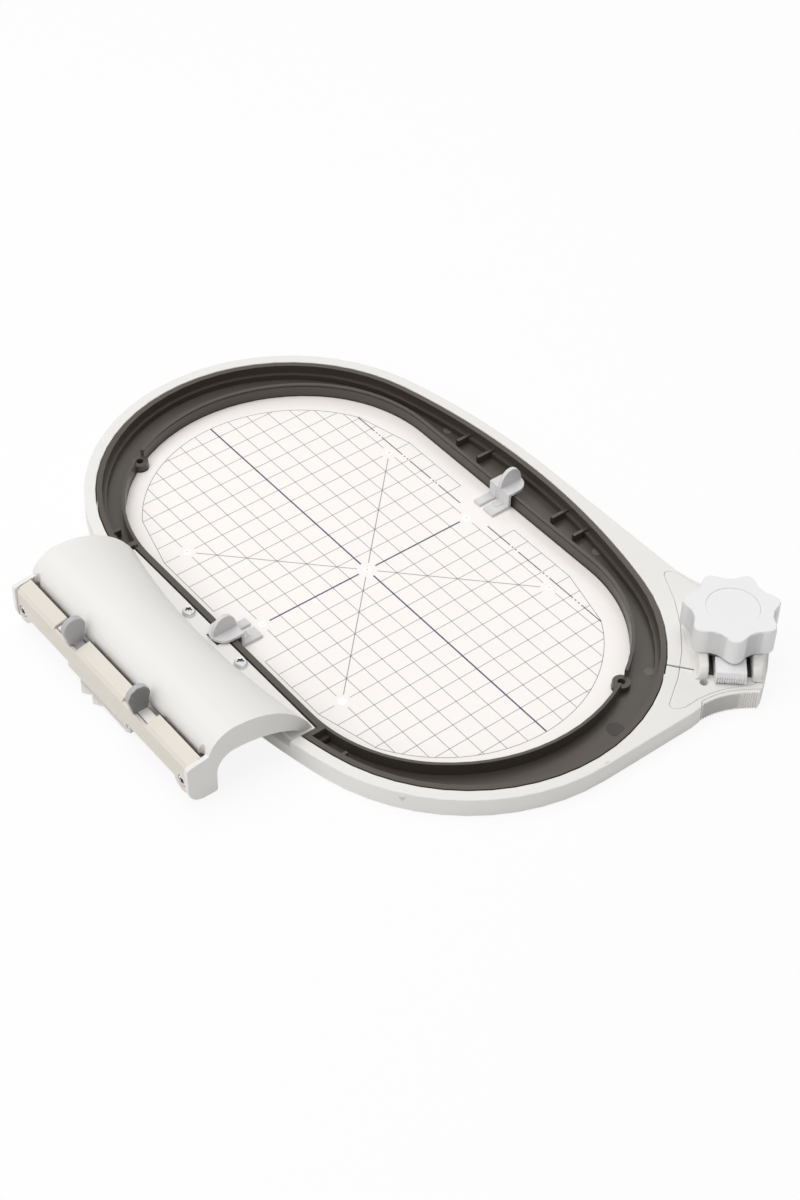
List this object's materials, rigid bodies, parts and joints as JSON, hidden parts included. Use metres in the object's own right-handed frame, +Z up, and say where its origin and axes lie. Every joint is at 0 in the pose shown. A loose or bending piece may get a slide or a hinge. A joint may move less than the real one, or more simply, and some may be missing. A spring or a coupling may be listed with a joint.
{
  "type": "machine embroidery hoop",
  "caption": "Oval machine embroidery hoop with a coupling arm, a twist clamp that closes the split outer ring, a channelled inner ring and a marking template on clips.",
  "frame": {"origin": "middle of the footprint, on the surface that the hoop lies on", "axes": "+Z up, +Y along the hoop away from the user, +X across it away from the coupling arm"},
  "size_m": [0.273, 0.3344, 0.0356],
  "materials": {
    "white_plastic": "fine moulded texture",
    "knob_plastic": "satin",
    "beige_plastic": "satin",
    "dark_plastic": "satin",
    "template_sheet": "gloss sheet with a printed grid",
    "clip_plastic": "satin",
    "lever_plastic": "satin",
    "steel": "bright",
    "brass": "turned"
  },
  "bodies": {
    "hoop_frame": {"outer_ring": "white_plastic", "coupling_cover": "white_plastic", "coupling_rail": "beige_plastic", "coupling_base": "white_plastic", "clamp_housing": "white_plastic", "lug_panel_front": "white_plastic", "clamp_grip": "white_plastic", "catch_pin": "steel", "pivot_insert": "brass", "knob_screw": "steel", "knob_washer": "steel", "lever_spring_near": "steel", "lever_spring_far": "steel", "flange_screw_near": "steel", "flange_screw_far": "steel", "rail_screw_near": "steel", "rail_screw_far": "steel", "base_screw_near": "steel", "base_screw_far": "steel"},
    "knob": {"clamp_knob": "knob_plastic", "knob_cap": "knob_plastic", "scroll_cam": "beige_plastic"},
    "draw_slide": {"draw_bar": "knob_plastic", "follower_pin": "steel"},
    "inner_hoop": {"inner_ring": "dark_plastic"},
    "template": {"template_plate": "template_sheet", "template_clip_left": "clip_plastic", "template_clip_right": "clip_plastic"},
    "near_lever": {"release_lever_near": "lever_plastic"},
    "far_lever": {"release_lever_far": "lever_plastic"}
  },
  "joints": [
    {"name": "knob_turn", "type": "hinge", "parent": "hoop_frame", "child": "knob", "pos_m": [0.10704, -0.13546, 0.0173], "axis": [0, 0, 1], "range_deg": [0, 270]},
    {"name": "draw_bar_slide", "type": "slide", "parent": "hoop_frame", "child": "draw_slide", "axis": [-0.6626, -0.749, 0], "range_m": [0, 0.003]},
    {"name": "inner_ring_lift", "type": "slide", "parent": "hoop_frame", "child": "inner_hoop", "axis": [0, 0, 1], "range_m": [0, 0.03]},
    {"name": "template_lift", "type": "slide", "parent": "inner_hoop", "child": "template", "axis": [0, 0, 1], "range_m": [0, 0.03]},
    {"name": "near_release", "type": "slide", "parent": "hoop_frame", "child": "near_lever", "axis": [0, 1, 0], "range_m": [0, 0.004], "stiffness_N_per_m": 300, "springref_m": -0.003, "deforming": ["lever_spring_near"]},
    {"name": "far_release", "type": "slide", "parent": "hoop_frame", "child": "far_lever", "axis": [0, -1, 0], "range_m": [0, 0.004], "stiffness_N_per_m": 300, "springref_m": -0.003, "deforming": ["lever_spring_far"]}
  ],
  "couplings": [
    {"joint": "draw_bar_slide", "follows": "knob_turn", "m_per_rad": 0.00063662}
  ]
}
